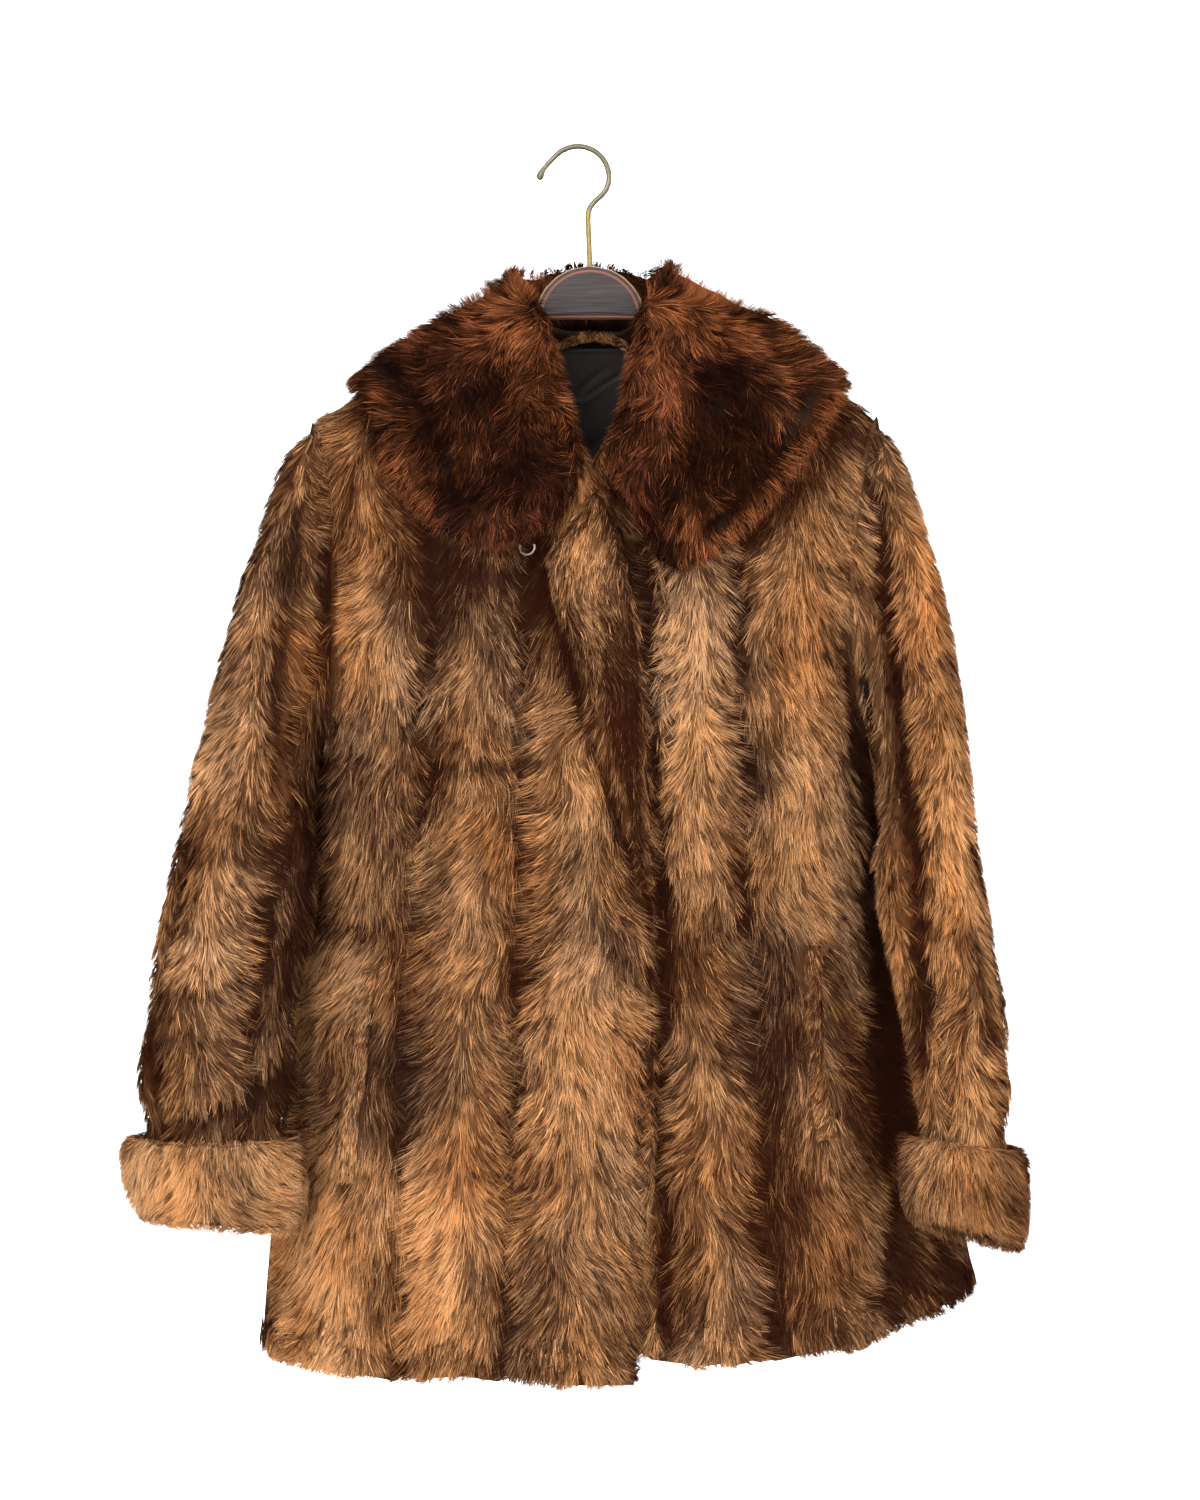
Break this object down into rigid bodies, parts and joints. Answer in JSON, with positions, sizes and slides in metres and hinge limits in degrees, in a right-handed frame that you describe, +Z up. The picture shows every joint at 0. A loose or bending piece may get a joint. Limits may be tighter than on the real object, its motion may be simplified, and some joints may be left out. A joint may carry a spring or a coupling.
{
  "type": "fur jacket",
  "caption": "Hip-length fur jacket with a wide dark shawl collar, turned-back cuffs and slit pockets, hanging on a wooden hanger with a metal hook.",
  "frame": {"origin": "bearing point under the crown of the hanger's hook, where a rail carries it", "axes": "+Z up, -Y out of the jacket's front, +X towards the wearer's left"},
  "size_m": [0.6398, 0.2418, 0.8784],
  "materials": {
    "fur": "golden brown fur in vertical strips, soft and matt",
    "dark_fur": "dark red-brown fur with a soft sheen",
    "loop_fur": "dark brown covered cord",
    "lining": "dark satin lining",
    "hanger_wood": "dark brushed wood with a satin varnish",
    "hook_metal": "nickel-plated wire",
    "nickel": "nickel-plated wire"
  },
  "bodies": {
    "root": {"back": "fur", "back_neck_lining": "lining", "closure_hook": "nickel", "collar": "dark_fur", "cuff_left": "fur", "cuff_right": "fur", "front_left": "fur", "front_right": "fur", "front_right_facing": "fur", "hanger_body": "hanger_wood", "hanger_hook": "hook_metal", "hanging_loop": "loop_fur", "pocket_welt_left": "fur", "pocket_welt_right": "fur", "sleeve_left": "fur", "sleeve_right": "fur"}
  },
  "joints": []
}
